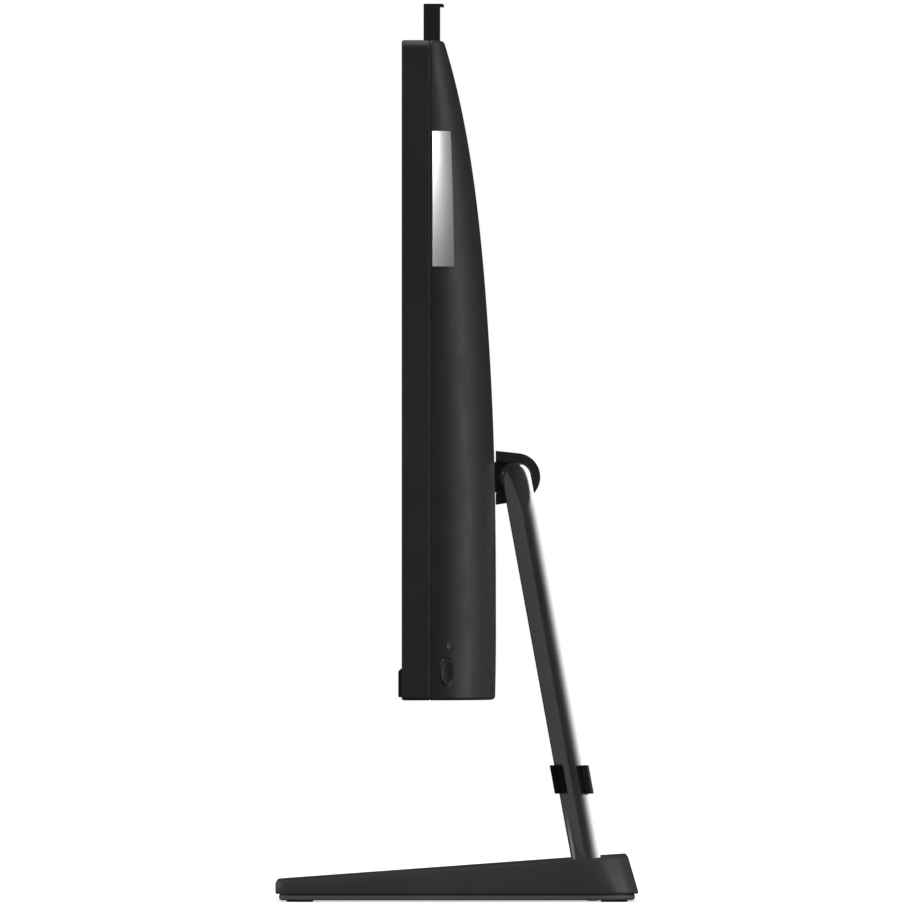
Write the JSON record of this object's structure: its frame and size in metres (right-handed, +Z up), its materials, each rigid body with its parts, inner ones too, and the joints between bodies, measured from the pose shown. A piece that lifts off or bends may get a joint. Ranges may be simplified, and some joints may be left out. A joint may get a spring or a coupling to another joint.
{
  "type": "all-in-one desktop computer",
  "caption": "Slim all-in-one desktop computer: flat screen with a curved back cover on a bent tube stand with a wedge base, tilting screen and pop-up camera.",
  "frame": {"origin": "on the table, under the middle of the object's box", "axes": "+Z up, -Y is the side that the screen faces, +X is the object's own left: the side with the power button and the silver plate, on the right of a person who looks at its back"},
  "size_m": [0.541, 0.1848, 0.4583],
  "materials": {
    "shell_black": "fine satin texture",
    "frame_black": "smooth satin",
    "base_black": "fine matt texture",
    "plate_black": "matt powder coat",
    "tube_silver": "satin chrome",
    "badge_silver": "brushed",
    "foot_rubber": "matt",
    "clip_black": "smooth satin",
    "hinge_black": "satin",
    "hinge_dark": "satin",
    "steel_plate": "zinc plated",
    "weight_steel": "raw",
    "screw_steel": "black zinc",
    "bush_steel": "ground",
    "panel_glass": "anti-glare film",
    "tray_metal": "plain",
    "board": "solder mask",
    "part_black": "moulded",
    "chip_metal": "nickel",
    "copper": "plain copper",
    "fin_metal": "plain",
    "antenna_foil": "gold foil",
    "cell_steel": "nickel",
    "led": "clear diffuser",
    "button_black": "polished",
    "port_metal": "nickel plated",
    "camera_black": "smooth satin",
    "camera_glass": "polished",
    "flat_cable": "plain",
    "bar_black": "fine satin texture"
  },
  "bodies": {
    "stand": {"base_shell": "base_black", "base_plate": "plate_black", "base_weight": "weight_steel", "base_feet": "foot_rubber", "base_screws": "screw_steel", "leg_sockets": "steel_plate", "leg_screws": "screw_steel", "stand_tube": "tube_silver"},
    "cable_clip": {"cable_clip": "clip_black"},
    "display": {"hinge_housing": "hinge_black", "hinge_core": "hinge_dark", "hinge_bushes": "bush_steel", "mount_bracket": "steel_plate", "hinge_screws": "screw_steel", "back_cover": "shell_black", "badge_plate": "badge_silver", "front_frame": "frame_black", "lcd_panel": "panel_glass", "backlight_module": "tray_metal", "panel_board": "board", "speaker_bar": "bar_black", "chassis": "steel_plate", "mainboard": "board", "processor": "chip_metal", "cold_plate": "copper", "heat_pipes": "copper", "fin_stack": "fin_metal", "fan_housing": "part_black", "memory_modules": "board", "memory_sockets": "part_black", "ssd_module": "board", "wireless_card": "board", "antennas": "antenna_foil", "coin_cell": "cell_steel", "storage_drive": "chip_metal", "drive_tray": "steel_plate", "speaker_boxes": "part_black", "speaker_drivers": "part_black", "button_board": "board", "power_led": "led", "io_bracket": "steel_plate", "dc_jack": "part_black", "audio_jack": "part_black", "hdmi_port": "port_metal", "usb_ports": "port_metal", "lan_port": "port_metal", "camera_guide": "part_black", "panel_cable": "flat_cable", "cover_screws": "screw_steel", "board_screws": "screw_steel"},
    "camera": {"camera_housing": "camera_black", "camera_window": "camera_glass", "camera_lens": "camera_glass", "camera_board": "board", "camera_cap": "camera_black"},
    "fan": {"fan_rotor": "part_black"},
    "power_button": {"power_button": "button_black"}
  },
  "joints": [
    {"name": "display_tilt", "type": "hinge", "parent": "stand", "child": "display", "pos_m": [0, 0.0303, 0.2164], "axis": [-1, 0, 0], "range_deg": [-5, 20]},
    {"name": "camera_slide", "type": "slide", "parent": "display", "child": "camera", "axis": [0, 0, 1], "range_m": [-0.0205, 0]},
    {"name": "button_press", "type": "slide", "parent": "display", "child": "power_button", "axis": [-0.4691, -0.8831, 0], "range_m": [0, 0.0008], "stiffness_N_per_m": 1500, "springref_m": -0.0004},
    {"name": "fan_spin", "type": "hinge", "parent": "display", "child": "fan", "pos_m": [-0.062, -0.009, 0.299], "axis": [0, 1, 0], "continuous": true},
    {"name": "clip_slide", "type": "slide", "parent": "stand", "child": "cable_clip", "axis": [0, -0.1795, 0.9838], "range_m": [-0.03, 0.11]}
  ]
}
